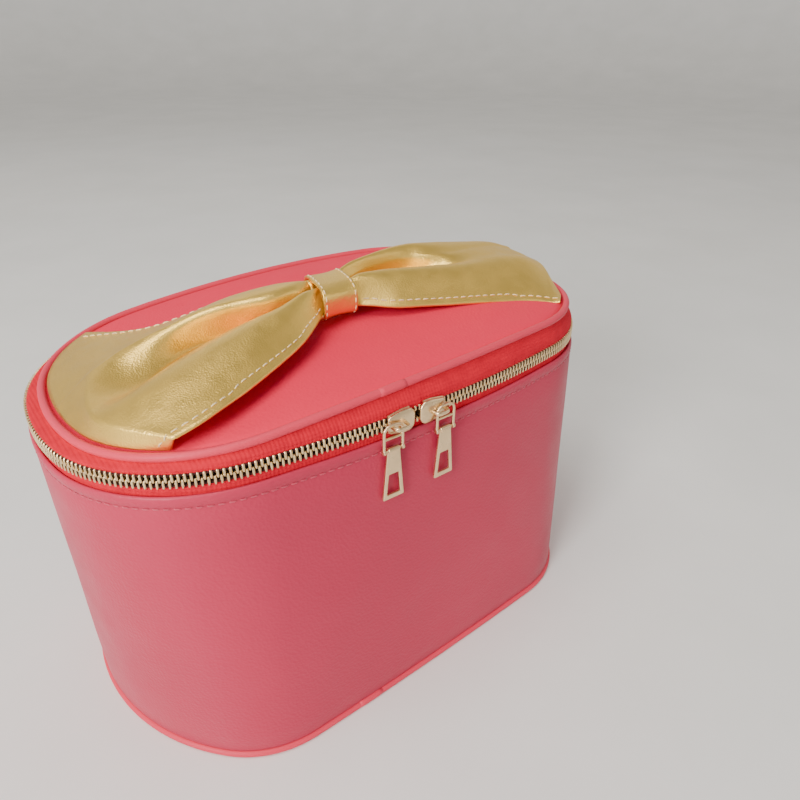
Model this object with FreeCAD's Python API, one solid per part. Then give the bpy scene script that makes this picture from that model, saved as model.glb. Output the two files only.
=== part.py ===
"""Oval makeup train case: zip-round lid, bow handle, two zip pulls.

Millimetres. +Z up, X along the case's length, -Y is the front with the zip pulls.
Origin: centre of the flat base, on the surface that the case stands on.
"""
import FreeCAD, Part
import math
import os

from FreeCAD import Vector

# ---- driving dimensions ------------------------------------------------------------
# Ovals: overall length, overall width, side arc radius, end arc radius, corner radius
BASE_OVAL = (251.6, 163.1, 2500.0, 95.4, 47.9)     # centre line of the base piping
CHAIN_OVAL = (250.0, 151.5, 490.0, 112.0, 63.6)    # mid-thickness of the zip
LID_OVAL = (238.6, 145.6, 595.0, 116.0, 58.9)      # centre line of the lid piping

CHAIN_Z = 138.9            # centre of the closed zip chain
LID_PIPING_Z = 148.6       # centre line of the lid piping
PIPING_R = 1.6
PIPING_LIFT = 0.1          # base piping's lowest line above the flat base panel

LEATHER = 1.2
BOARD = 2.0
LINING = 0.7
LAYER_GAP = 0.15
TAPE = 0.7

WALL_TOP_Z = 133.2
STIFFENER_TOP_Z = 121.5
LINING_TOP_Z = 131.0
TAPE_BOTTOM_Z = 122.0

TOOTH_PITCH = 2.0          # along one row
TOOTH_THICK = 0.85
TOOTH_ROOT = 2.7           # chain centre to the edge of the tape
TOOTH_REACH = 0.9          # how far a tooth passes the chain's centre
TOOTH_DEPTH = 2.6
HINGE_HALF = 54.0          # half the length of the back without a zip
TAPE_UPRIGHT = 2.8         # upper tape stands upright this far, then leans in to the lid
STOP_HALF = 0.45
STOP_HEIGHT = 2.2

PANEL_CROWN_R = 1700.0     # the lid's leather is a shallow dome
PANEL_EDGE_INSET = 1.9
PANEL_RISE = 0.3           # lid panel's top above the piping's centre line, at its long ends
LID_BOARD = 1.6
LID_BOARD_INSET = 0.8      # the board stops this far inside the panel's edge

SLIDER_CENTRES = {"left": -19.2, "right": -4.8}
SLIDER_LENGTH = 12.0
SLIDER_NOSE_HALF = 4.8
SLIDER_TAIL_HALF = 3.5
SLIDER_SHOULDER = 0.5      # where the plate is broadest, from its middle
SLIDER_CORNER_X = 1.8      # bevel on the nose's corners, along the chain
SLIDER_CORNER_Z = 2.4      # the same, across the chain
SLIDER_GAP = 1.6           # chain centre plane to the inner face of a slider plate
SLIDER_PLATE = 1.2
FLANGE_INNER = 0.65        # half the slot that the tape runs in
FLANGE_WIDTH = 0.8
POST_LENGTH = 3.4
POST_HALF = 1.1

CROWN_GAP = 3.5            # slider plate to the back of the crown's bar
CROWN_BAR = 0.9
CROWN_HALF_HEIGHT = 0.8
CROWN_LENGTH = 7.0
CROWN_NOSE_END = 1.6       # crown's nose end from the slider's middle
CROWN_POST = 1.3
BAIL_WIRE_R = 0.6
BAIL_SHOULDER = 2.6        # radius of the round top's corners
BAIL_HALF = 4.1            # each leg from the middle of the bail
BAIL_DROP = 10.6           # pivot to the tab's pin
BAIL_BAR_DROP = 5.4        # pivot to the crossbar
BAIL_STANDOFF = 1.35       # bail's plane in front of the slider plate
BAIL_SHIFT = 5.0           # bail's middle from the slider's middle, towards its tail
PIVOT_RISE = 1.55          # bail's pivot above the chain centre
EYELET_R = 1.15
PIN_R = 0.45
PIN_CLEARANCE = 0.05
TAB_TOP_HALF = 2.65
TAB_BOTTOM_HALF = 4.8
TAB_LENGTH = 23.0
TAB_THICK = 1.1
TAB_BORDER = 1.3
TAB_FOOT_BORDER = 1.8      # below the window
TAB_WINDOW = 9.5

KNOT_X = -2.0
KNOT_Y = -2.0
KNOT_HALF_LENGTH = 10.0
KNOT_HALF_WIDTH = 14.0
KNOT_LOW_Z = 157.6
KNOT_HIGH_Z = 173.5
KNOT_FILLET = 6.0
BAND_THICK = 1.4
GATHER_SIDE_GAP = 1.0      # gathered strip to the inside of the knot band, front and back
GATHER_FLAT_GAP = 1.2      # the same, above and below
GATHER_HALF_LENGTH = 8.0
WING_CLEARANCE = 0.3
WING_OVERLAP_INSET = 1.0   # the wing's underside is trimmed to the lid this far inside it
# Wing sections: distance from the gather, half-width, underside and top above the lid
WING_SECTIONS = [
    (30.0, 27.0, 7.5, 20.6),
    (62.0, 42.0, 3.6, 15.0),
    (90.0, 58.0, 1.2, 6.0),
    (112.0, 60.0, 0.4, 3.2),
]
WING_BEVEL_Y = 0.22        # share of the half-width
WING_BEVEL_Z = 0.3         # share of the thickness

CUT_PAST = 1.0             # a cutting body goes this far past what it cuts
FAR = 200.0                # beyond every piece
BACK_FROM_Y = 40.0         # the back of the case starts behind this

OUT = "parts"


# ---- oval outlines -----------------------------------------------------------------
def offset_oval(oval, out):
    """The parallel oval, moved outwards by out."""
    length, width, side, end, corner = oval
    return (length + 2 * out, width + 2 * out, side + out, end + out, corner + out)


def oval_arcs(oval):
    """Eight tangent arcs, counter-clockwise from +X: (centre, radius, start, sweep)."""
    length, width, side, end, corner = oval
    side_y = width / 2 - side
    end_x = length / 2 - end
    span = math.hypot(end_x, side_y)
    along = ((side - corner) ** 2 - (end - corner) ** 2 + span * span) / (2 * span)
    across = math.sqrt((side - corner) ** 2 - along * along)
    ux = end_x / span
    uy = -side_y / span
    cx = ux * along + uy * across
    cy = side_y + uy * along - ux * across
    if cy < 0:
        cx = ux * along - uy * across
        cy = side_y + uy * along + ux * across
    end_angle = math.atan2(cy, cx - end_x)
    side_angle = math.atan2(cy - side_y, cx)
    half = math.pi
    return [
        ((end_x, 0.0), end, 0.0, end_angle),
        ((cx, cy), corner, end_angle, side_angle - end_angle),
        ((0.0, side_y), side, side_angle, half - 2 * side_angle),
        ((-cx, cy), corner, half - side_angle, side_angle - end_angle),
        ((-end_x, 0.0), end, half - end_angle, 2 * end_angle),
        ((-cx, -cy), corner, half + end_angle, side_angle - end_angle),
        ((0.0, -side_y), side, half + side_angle, half - 2 * side_angle),
        ((cx, -cy), corner, 2 * half - side_angle, side_angle - end_angle),
        ((end_x, 0.0), end, 2 * half - end_angle, end_angle),
    ]


def on_arc(arc, share, z=0.0):
    """Point at a share of an arc's sweep."""
    (cx, cy), radius, start, sweep = arc
    angle = start + sweep * share
    return Vector(cx + radius * math.cos(angle), cy + radius * math.sin(angle), z)


def arc_breaks():
    """Angles where an arc of any of the three ovals ends."""
    angles = {0.0}
    for oval in (BASE_OVAL, CHAIN_OVAL, LID_OVAL):
        angles.update(round(arc[2], 9) for arc in oval_arcs(oval))
    return sorted(angles)


def oval_wire(oval, z):
    """The oval with its arcs split at the same angles as every other oval's.

    Lofts between two such wires then join points that face the same way.
    """
    edges = []
    for centre, radius, start, sweep in oval_arcs(oval):
        inside = [a for a in arc_breaks() if start + 1e-6 < a < start + sweep - 1e-6]
        bounds = [start] + inside + [start + sweep]
        for first, last in zip(bounds, bounds[1:]):
            piece = (centre, radius, first, last - first)
            ends = [on_arc(piece, share, z) for share in (0, 0.5, 1)]
            edges.append(Part.Arc(*ends).toShape())
    return Part.Wire(edges)


def walk_oval(oval, steps_at):
    """Position, outward angle for each distance from +X, counter-clockwise."""
    arcs = oval_arcs(oval)
    found = []
    for distance in steps_at:
        left = distance
        for arc in arcs:
            length = arc[1] * arc[3]
            if left <= length:
                break
            left -= length
        share = min(left / length, 1.0)
        found.append((on_arc(arc, share), arc[2] + arc[3] * share))
    return found


def oval_length(oval):
    return sum(arc[1] * arc[3] for arc in oval_arcs(oval))


# ---- solids shared by several pieces -----------------------------------------------
def loft(levels):
    """Closed ruled solid through (oval, z) levels."""
    return Part.makeLoft([oval_wire(oval, z) for oval, z in levels], True, True)


def shell(levels, thick):
    """Wall of even thickness, inside the oval of each level."""
    inner = [(offset_oval(oval, -thick), z) for oval, z in levels]
    return loft(levels).cut(loft(inner))


def slab(oval, low, high):
    face = Part.Face(oval_wire(oval, low))
    return face.extrude(Vector(0, 0, high - low))


def box(x0, x1, y0, y1, z0, z1):
    return Part.makeBox(x1 - x0, y1 - y0, z1 - z0, Vector(x0, y0, z0))


def polygon(points, direction):
    points = [Vector(*p) for p in points]
    face = Part.Face(Part.makePolygon(points + points[:1]))
    return face.extrude(Vector(*direction))


def between(shape, low, high):
    return shape.common(box(-FAR, FAR, -FAR, FAR, low, high))


BASE_PIPING_Z = PIPING_R + PIPING_LIFT
WALL_BASE_Z = BASE_PIPING_Z + PIPING_R
WALL_BASE = offset_oval(BASE_OVAL, LEATHER / 2)
WALL_TOP = offset_oval(CHAIN_OVAL, TAPE / 2 + LAYER_GAP + LEATHER)
INNER_FROM_WALL = LEATHER + LAYER_GAP


# ---- base --------------------------------------------------------------------------
def piping(oval, z):
    """Round welt swept around an oval."""
    path = oval_wire(oval, z)
    start = on_arc(oval_arcs(oval)[0], 0, z)
    ring = Part.Wire([Part.Circle(start, Vector(0, 1, 0), PIPING_R).toShape()])
    return path.makePipeShell([ring], True, False)


def base_panel():
    return slab(offset_oval(BASE_OVAL, -PIPING_R - LAYER_GAP), 0.0, LEATHER)


def base_board():
    return slab(offset_oval(BASE_OVAL, -PIPING_R - LAYER_GAP), LEATHER, WALL_BASE_Z)


def base_lining():
    inset = INNER_FROM_WALL + BOARD + LINING + 2 * LAYER_GAP
    return slab(offset_oval(WALL_BASE, -inset - LAYER_GAP), WALL_BASE_Z, WALL_BASE_Z + LINING)


# ---- wall --------------------------------------------------------------------------
def wall_levels(inset):
    return [
        (offset_oval(WALL_BASE, -inset), WALL_BASE_Z),
        (offset_oval(WALL_TOP, -inset), WALL_TOP_Z),
    ]


def body_wall():
    return shell(wall_levels(0.0), LEATHER)


def wall_stiffener():
    return between(shell(wall_levels(INNER_FROM_WALL), BOARD), WALL_BASE_Z, STIFFENER_TOP_Z)


def wall_lining():
    inset = INNER_FROM_WALL + BOARD + LAYER_GAP
    return between(shell(wall_levels(inset), LINING), WALL_BASE_Z, LINING_TOP_Z)


def chain_band(levels):
    return shell([(offset_oval(oval, TAPE / 2), z) for oval, z in levels], TAPE)


def tape_low_band():
    return chain_band([(CHAIN_OVAL, TAPE_BOTTOM_Z), (CHAIN_OVAL, CHAIN_Z - TOOTH_ROOT)])


def tape_high_levels():
    return [
        (CHAIN_OVAL, CHAIN_Z + TOOTH_ROOT),
        (CHAIN_OVAL, CHAIN_Z + TOOTH_ROOT + TAPE_UPRIGHT),
        (LID_OVAL, LID_PIPING_Z - PIPING_R - LAYER_GAP),
    ]


def back_zone(half):
    return box(-half, half, BACK_FROM_Y, FAR, 0.0, FAR)


def zip_tape_lower():
    return tape_low_band().cut(back_zone(HINGE_HALF))


def zip_tape_upper():
    return chain_band(tape_high_levels()).cut(back_zone(HINGE_HALF))


def hinge_strip():
    """Leather that joins wall and lid along the back, between the zip's two ends."""
    whole = chain_band([(CHAIN_OVAL, TAPE_BOTTOM_Z)] + tape_high_levels()[1:])
    return whole.common(back_zone(HINGE_HALF - LAYER_GAP))


# ---- zip teeth ---------------------------------------------------------------------
def tooth(place, angle, low, high):
    """Flat-sided tooth, thin along the chain, deep through it."""
    half = TOOTH_DEPTH / 2
    body = box(-half, half, -TOOTH_THICK / 2, TOOTH_THICK / 2, low, high)
    body.rotate(Vector(0, 0, 0), Vector(0, 0, 1), math.degrees(angle))
    body.translate(place)
    return body


def zip_teeth(first, low, high):
    """One row of teeth, left out at the hinge and where the sliders part the rows."""
    total = oval_length(CHAIN_OVAL)
    count = int(total // TOOTH_PITCH)
    pitch = total / count
    row = []
    for place, angle in walk_oval(CHAIN_OVAL, [(first + i) * pitch for i in range(count)]):
        at_back = place.y > 0 and abs(place.x) < HINGE_HALF + TOOTH_PITCH
        left_end = SLIDER_CENTRES["left"] - TOOTH_PITCH
        right_end = SLIDER_CENTRES["right"] + TOOTH_PITCH
        parted = place.y < 0 and left_end < place.x < right_end
        if not at_back and not parted:
            row.append(tooth(place, angle, low, high))
    return Part.makeCompound(row)


def zip_teeth_lower():
    return zip_teeth(0.25, CHAIN_Z - TOOTH_ROOT, CHAIN_Z + TOOTH_REACH)


def zip_teeth_upper():
    return zip_teeth(0.75, CHAIN_Z - TOOTH_REACH, CHAIN_Z + TOOTH_ROOT)


def zip_end_stops():
    """Metal staple across the chain at each end of the zip, beside the hinge strip."""
    half = TOOTH_DEPTH / 2
    stops = []
    for side in (-1, 1):
        x = side * (HINGE_HALF + TOOTH_PITCH / 2)
        (_, centre_y), radius, _, _ = oval_arcs(CHAIN_OVAL)[2]
        y = centre_y + math.sqrt(radius ** 2 - x ** 2)
        low = CHAIN_Z - TOOTH_ROOT
        stops.append(box(x - STOP_HALF, x + STOP_HALF, y - half, y + half, low, low + STOP_HEIGHT))
    return Part.makeCompound(stops)


# ---- lid ---------------------------------------------------------------------------
def dome(oval, top_z, thick):
    """Shallow dome over an oval: top_z is its upper face at the oval's long ends."""
    half = oval[0] / 2
    centre_z = top_z - math.sqrt(PANEL_CROWN_R ** 2 - half ** 2)
    outer = Part.makeSphere(PANEL_CROWN_R, Vector(0, 0, centre_z))
    inner = Part.makeSphere(PANEL_CROWN_R - thick, Vector(0, 0, centre_z))
    block = slab(oval, top_z - half, top_z + half)
    return block.common(outer).cut(inner)


def panel_top_z():
    return LID_PIPING_Z + PANEL_RISE


def lid_panel():
    return dome(offset_oval(LID_OVAL, -PANEL_EDGE_INSET), panel_top_z(), LEATHER)


def lid_board():
    top = panel_top_z() - LEATHER - LAYER_GAP
    return dome(offset_oval(LID_OVAL, -PANEL_EDGE_INSET - LID_BOARD_INSET), top, LID_BOARD)


def lid_lining():
    top = panel_top_z() - LEATHER - LID_BOARD - 2 * LAYER_GAP
    return dome(offset_oval(LID_OVAL, -PANEL_EDGE_INSET - LID_BOARD_INSET), top, LINING)


# ---- bow handle --------------------------------------------------------------------
def wing_section(x, half_width, low, high, middle_y):
    """Eight-cornered section across the bow, bevelled on its long edges."""
    bevel_y = half_width * WING_BEVEL_Y
    bevel_z = (high - low) * WING_BEVEL_Z
    corners = [
        (-half_width, low + bevel_z), (-half_width + bevel_y, low),
        (half_width - bevel_y, low), (half_width, low + bevel_z),
        (half_width, high - bevel_z), (half_width - bevel_y, high),
        (-half_width + bevel_y, high), (-half_width, high - bevel_z),
    ]
    points = [Vector(x, middle_y + y, z) for y, z in corners]
    return Part.makePolygon(points + points[:1])


def gather_section(x):
    """The strip's section where the knot band holds it."""
    half = KNOT_HALF_WIDTH - BAND_THICK - GATHER_SIDE_GAP
    inset = BAND_THICK + GATHER_FLAT_GAP
    return wing_section(x, half, KNOT_LOW_Z + inset, KNOT_HIGH_Z - inset, KNOT_Y)


def wing(side):
    """Broad end sewn in beside the lid piping, rising and narrowing to the knot."""
    lid_top = panel_top_z()
    start = KNOT_X + side * GATHER_HALF_LENGTH
    sections = [gather_section(start)]
    for away, half_width, low, high in WING_SECTIONS:
        x = start + side * away
        sections.append(wing_section(x, half_width, lid_top + low, lid_top + high, 0.0))
    body = Part.makeLoft(sections, True, True)
    sewn_in = offset_oval(LID_OVAL, -PIPING_R - WING_CLEARANCE)
    body = body.common(slab(sewn_in, lid_top - FAR / 2, lid_top + FAR / 2))
    under = dome(offset_oval(LID_OVAL, -WING_OVERLAP_INSET), lid_top + LAYER_GAP, FAR / 20)
    return body.cut(under)


def bow_gather():
    """The strip's middle, pinched into folds inside the knot band."""
    ends = [gather_section(KNOT_X + side * GATHER_HALF_LENGTH) for side in (-1, 1)]
    return Part.makeLoft(ends, True, True)


def rounded_ring(half, low, high, radius, x0, x1):
    """Solid bar along X with round corners in its Y-Z section."""
    bar = box(x0, x1, KNOT_Y - half, KNOT_Y + half, low, high)
    long_edges = [e for e in bar.Edges if abs(e.tangentAt(0).x) > 0.9]
    return bar.makeFillet(radius, long_edges)


def bow_knot_band():
    x0 = KNOT_X - KNOT_HALF_LENGTH
    x1 = KNOT_X + KNOT_HALF_LENGTH
    outer = rounded_ring(KNOT_HALF_WIDTH, KNOT_LOW_Z, KNOT_HIGH_Z, KNOT_FILLET, x0, x1)
    inner = rounded_ring(
        KNOT_HALF_WIDTH - BAND_THICK, KNOT_LOW_Z + BAND_THICK, KNOT_HIGH_Z - BAND_THICK,
        KNOT_FILLET - BAND_THICK, x0 - CUT_PAST, x1 + CUT_PAST)
    return outer.cut(inner)


# ---- sliders and pulls -------------------------------------------------------------
def chain_y(x):
    """Front of the chain's centre plane, on its side arc."""
    (_, centre_y), radius, _, _ = oval_arcs(CHAIN_OVAL)[6]
    return centre_y - math.sqrt(radius ** 2 - x ** 2)


def chain_turn(x):
    """Angle of the chain's tangent at the front, in degrees."""
    _, radius, _, _ = oval_arcs(CHAIN_OVAL)[6]
    return math.degrees(math.asin(x / radius))


def onto_chain(shape, name):
    """From the slider's own frame, nose along +X and front along -Y, to its place."""
    x = SLIDER_CENTRES[name]
    if name == "right":
        shape = shape.mirror(Vector(0, 0, 0), Vector(1, 0, 0))
    shape.rotate(Vector(0, 0, 0), Vector(0, 0, 1), chain_turn(x))
    shape.translate(Vector(x, chain_y(x), CHAIN_Z))
    return shape


def slider_plate(y0, y1):
    """Shield-shaped plate, broad at its nose and narrow at its tail."""
    half = SLIDER_LENGTH / 2
    nose = SLIDER_NOSE_HALF
    tail = SLIDER_TAIL_HALF
    corner_x = half - SLIDER_CORNER_X
    corner_z = nose - SLIDER_CORNER_Z
    outline = [
        (-half, y0, -tail), (SLIDER_SHOULDER, y0, -nose), (corner_x, y0, -nose),
        (half, y0, -corner_z), (half, y0, corner_z),
        (corner_x, y0, nose), (SLIDER_SHOULDER, y0, nose), (-half, y0, tail),
    ]
    return polygon(outline, (0, y1 - y0, 0))


def slider_inner_outline(y0, y1):
    """The plate's outline less its flanges, for the channel that holds the teeth."""
    half = SLIDER_LENGTH / 2 + CUT_PAST
    nose = SLIDER_NOSE_HALF - FLANGE_WIDTH
    tail = max(SLIDER_TAIL_HALF - FLANGE_WIDTH, TOOTH_ROOT + LAYER_GAP)
    outline = [
        (-half, y0, -tail), (SLIDER_SHOULDER, y0, -nose), (half, y0, -nose),
        (half, y0, nose), (SLIDER_SHOULDER, y0, nose), (-half, y0, tail),
    ]
    return polygon(outline, (0, y1 - y0, 0))


def crown():
    """Bridge over the slider's tail half that the bail hangs on."""
    front = -(SLIDER_GAP + SLIDER_PLATE)
    x1 = CROWN_NOSE_END
    x0 = x1 - CROWN_LENGTH
    h = CROWN_HALF_HEIGHT
    outer = box(x0, x1, front - CROWN_GAP - CROWN_BAR, front, -h, h)
    high = h + CUT_PAST
    gap = box(x0 + CROWN_POST, x1 - CROWN_POST, front - CROWN_GAP, front, -high, high)
    return outer.cut(gap)


def slider(name):
    reach = SLIDER_GAP + SLIDER_PLATE
    body = slider_plate(-reach, reach)
    body = body.cut(slider_inner_outline(-SLIDER_GAP, SLIDER_GAP))
    half = SLIDER_LENGTH / 2
    long = half + CUT_PAST
    high = SLIDER_NOSE_HALF + CUT_PAST
    body = body.cut(box(-long, long, -FLANGE_INNER, FLANGE_INNER, -high, high))
    post = box(half - POST_LENGTH, half, -SLIDER_GAP, SLIDER_GAP, -POST_HALF, POST_HALF)
    return onto_chain(body.fuse(post).fuse(crown()).removeSplitter(), name)


def bail_plane_y():
    return -(SLIDER_GAP + SLIDER_PLATE + BAIL_STANDOFF)


def wire_run(points):
    """Round wire through points, with a ball at each turn."""
    parts = []
    for a, b in zip(points, points[1:]):
        a, b = Vector(*a), Vector(*b)
        parts.append(Part.makeCylinder(BAIL_WIRE_R, (b - a).Length, a, b - a))
    for p in points[1:-1]:
        parts.append(Part.makeSphere(BAIL_WIRE_R, Vector(*p)))
    body = parts[0]
    for piece in parts[1:]:
        body = body.fuse(piece)
    return body


def pivot_bar(x, half, radius, z):
    """Round bar along the bail's pivot line."""
    start = Vector(x - half, bail_plane_y(), z)
    return Part.makeCylinder(radius, 2 * half, start, Vector(1, 0, 0))


def bail(name):
    """Round-topped loop with a crossbar, and an eyelet at the foot of each leg."""
    y = bail_plane_y()
    middle = -BAIL_SHIFT
    corner = BAIL_SHOULDER * (1 - math.sqrt(0.5))
    arc_mid = BAIL_HALF - corner
    drop_mid = PIVOT_RISE - corner
    low = PIVOT_RISE - BAIL_DROP
    path = [
        (middle - BAIL_HALF, y, low), (middle - BAIL_HALF, y, PIVOT_RISE - BAIL_SHOULDER),
        (middle - arc_mid, y, drop_mid), (middle - BAIL_HALF + BAIL_SHOULDER, y, PIVOT_RISE),
        (middle + BAIL_HALF - BAIL_SHOULDER, y, PIVOT_RISE), (middle + arc_mid, y, drop_mid),
        (middle + BAIL_HALF, y, PIVOT_RISE - BAIL_SHOULDER), (middle + BAIL_HALF, y, low),
    ]
    bar_z = PIVOT_RISE - BAIL_BAR_DROP
    body = wire_run(path)
    body = body.fuse(wire_run([(middle - BAIL_HALF, y, bar_z), (middle + BAIL_HALF, y, bar_z)]))
    for side in (-1, 1):
        body = body.fuse(pivot_bar(middle + side * BAIL_HALF, BAIL_WIRE_R, EYELET_R, low))
    return onto_chain(body.cut(pivot_bar(middle, 2 * BAIL_HALF, PIN_R, low)), name)


def pull_pin(name):
    z = PIVOT_RISE - BAIL_DROP
    return onto_chain(pivot_bar(-BAIL_SHIFT, BAIL_HALF + BAIL_WIRE_R, PIN_R, z), name)


def tab(name):
    """Tapered puller plate with a window near its broad end."""
    y0 = bail_plane_y() - TAB_THICK / 2
    z_pin = PIVOT_RISE - BAIL_DROP
    top = z_pin + EYELET_R
    low = top - TAB_LENGTH
    middle = -BAIL_SHIFT

    def tapered(z0, z1, inset, front, deep):
        """Plate between two heights, inset from the tab's slanting sides."""
        corners = []
        for z in (z0, z1):
            grow = (TAB_BOTTOM_HALF - TAB_TOP_HALF) * (top - z) / TAB_LENGTH
            corners.append((TAB_TOP_HALF + grow - inset, z))
        (low_half, _), (high_half, _) = corners
        return polygon([
            (middle - high_half, front, z1), (middle + high_half, front, z1),
            (middle + low_half, front, z0), (middle - low_half, front, z0),
        ], (0, deep, 0))

    plate = tapered(low, top, 0.0, y0, TAB_THICK)
    z0 = low + TAB_FOOT_BORDER
    cut_deep = TAB_THICK + 2 * CUT_PAST
    window = tapered(z0, z0 + TAB_WINDOW, TAB_BORDER, y0 - CUT_PAST, cut_deep)
    knuckle = pivot_bar(middle, TAB_TOP_HALF, EYELET_R, z_pin)
    bore = pivot_bar(middle, 2 * TAB_TOP_HALF, PIN_R + PIN_CLEARANCE, z_pin)
    return onto_chain(plate.cut(window).fuse(knuckle).cut(bore), name)


# ---- every node --------------------------------------------------------------------
def nodes():
    made = {
        "base_panel": base_panel(),
        "base_board": base_board(),
        "base_lining": base_lining(),
        "base_piping": piping(BASE_OVAL, BASE_PIPING_Z),
        "body_wall": body_wall(),
        "wall_stiffener": wall_stiffener(),
        "wall_lining": wall_lining(),
        "hinge_strip": hinge_strip(),
        "zip_tape_lower": zip_tape_lower(),
        "zip_teeth_lower": zip_teeth_lower(),
        "zip_end_stops": zip_end_stops(),
        "zip_tape_upper": zip_tape_upper(),
        "zip_teeth_upper": zip_teeth_upper(),
        "lid_piping": piping(LID_OVAL, LID_PIPING_Z),
        "lid_panel": lid_panel(),
        "lid_board": lid_board(),
        "lid_lining": lid_lining(),
        "bow_wing_left": wing(-1),
        "bow_wing_right": wing(1),
        "bow_gather": bow_gather(),
        "bow_knot_band": bow_knot_band(),
    }
    for name in SLIDER_CENTRES:
        made["slider_" + name] = slider(name)
        made["bail_" + name] = bail(name)
        made["pull_pin_" + name] = pull_pin(name)
        made["tab_" + name] = tab(name)
    return made


def main():
    os.makedirs(OUT, exist_ok=True)
    for name, shape in nodes().items():
        shape.exportStep(os.path.join(OUT, name + ".step"))
        box_now = shape.BoundBox
        print(f"{name:18s} solids {len(shape.Solids):3d} valid {shape.isValid()} "
              f"volume {shape.Volume:10.1f} z {box_now.ZMin:7.2f} {box_now.ZMax:7.2f} "
              f"y {box_now.YMin:7.2f} {box_now.YMax:7.2f}")


main()
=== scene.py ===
"""Makeup train case: meshes, materials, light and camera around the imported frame.

Lengths are millimetres until mesh_object() turns them into metres. +Z is up, X runs
along the case, and -Y is its front.
"""
import math

import bmesh
import bpy
from mathutils import Matrix, Vector, noise


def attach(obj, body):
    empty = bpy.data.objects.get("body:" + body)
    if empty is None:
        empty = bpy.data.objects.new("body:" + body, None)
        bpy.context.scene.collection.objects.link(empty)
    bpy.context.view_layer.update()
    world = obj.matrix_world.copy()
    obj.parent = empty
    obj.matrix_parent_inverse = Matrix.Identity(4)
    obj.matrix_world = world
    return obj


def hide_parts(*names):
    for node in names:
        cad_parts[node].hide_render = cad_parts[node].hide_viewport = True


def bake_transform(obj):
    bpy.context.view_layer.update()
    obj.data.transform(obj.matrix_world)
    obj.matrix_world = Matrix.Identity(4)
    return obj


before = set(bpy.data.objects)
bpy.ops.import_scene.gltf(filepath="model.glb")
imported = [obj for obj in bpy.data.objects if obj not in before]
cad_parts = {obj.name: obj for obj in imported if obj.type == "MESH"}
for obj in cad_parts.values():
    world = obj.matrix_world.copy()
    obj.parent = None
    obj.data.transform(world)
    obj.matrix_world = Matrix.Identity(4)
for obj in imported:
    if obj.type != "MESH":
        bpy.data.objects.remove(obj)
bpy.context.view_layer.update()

MM = 0.001
TURN = 2 * math.pi

# ---- sizes shared with the frame ----
# Ovals: length, width, side arc radius, end arc radius, corner radius
BASE_OVAL = (251.6, 163.1, 2500.0, 95.4, 47.9)     # centre line of the base piping
CHAIN_OVAL = (250.0, 151.5, 490.0, 112.0, 63.6)    # mid-thickness of the zip
LID_OVAL = (238.6, 145.6, 595.0, 116.0, 58.9)      # centre line of the lid piping
LEATHER = 1.2
STIFFENER = 2.0
LID_BOARD = 1.6
LINING = 0.7
TAPE = 0.7
LAYER_GAP = 0.15
PIPING_R = 1.6
BASE_PIPING_Z = 1.7
WALL_BASE_Z = 3.3
WALL_TOP_Z = 133.2
HEM_DEPTH = 4.5            # the hem's stitches lie this far under the wall's top
LINING_TOP_Z = 131.0
TAPE_BOTTOM_Z = 122.0
HINGE_HALF = 54.0
CHAIN_Z = 138.9
LID_Z = 150.4              # lid piping over the middle, then its slopes and its crown
LID_RISE_ALONG = 4.2
LID_RISE_ACROSS = -1.2
LID_CROWN = 6.2
LID_REACH = (125.0, 75.0)  # where the slopes reach those heights

# ---- zip ----
CHAIN_FLAT_X = 62.0        # the chain is level as far as this from the middle
CHAIN_FULL_X = 125.0
CHAIN_DIP = 2.8            # and this much lower at the case's ends
TOOTH_PITCH = 2.0
TOOTH_THICK = 0.9
TOOTH_DEPTH = 2.7
TOOTH_ROOT = 2.8
TOOTH_REACH = 0.5
PARTED_HALF = 5.4          # the rows part this far each way between the sliders
PARTED_HEAD = 1.75
PARTED_ROOT = 0.7
BEAD_R = 0.55
RIB_PITCH = 0.9            # woven ribs of the upper tape
RIB_HEIGHT = 0.16
TAPE_UPRIGHT = 2.2

SLIDER_CENTRES = {"left": -19.2, "right": -4.8}
PLATE_FACE = 2.8           # chain's centre plane to a slider's outer face
PLATE_THICK = 1.2
BAIL_PLANE = 4.15          # chain's centre plane to the bail's wire
BAIL_MIDDLE = -5.0
BAIL_HALF = 4.1
BAIL_TOP = 1.55
BAIL_LOW = -9.05
BAIL_BAR = -3.85
BAIL_CORNER = 3.3
WIRE_R = 0.62
TAB_TOP = -7.9
TAB_LENGTH = 23.0
TAB_TOP_HALF = 2.65
TAB_LOW_HALF = 4.8
TAB_THICK = 1.1
EYELET_R = 1.15
PIN_R = 0.5

# ---- bow ----
BOW_THICK = 1.3
KNOT_MIDDLE = (-2.4, -6.0, 162.5)
KNOT_HALF_X = 8.4
KNOT_HALF_Y = 13.2
KNOT_HALF_Z = 7.5
KNOT_SLANT = 0.22          # the knot's front is turned this far to the left
KNOT_ROUND = 0.6           # 1 is an ellipse, less is squarer
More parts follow.
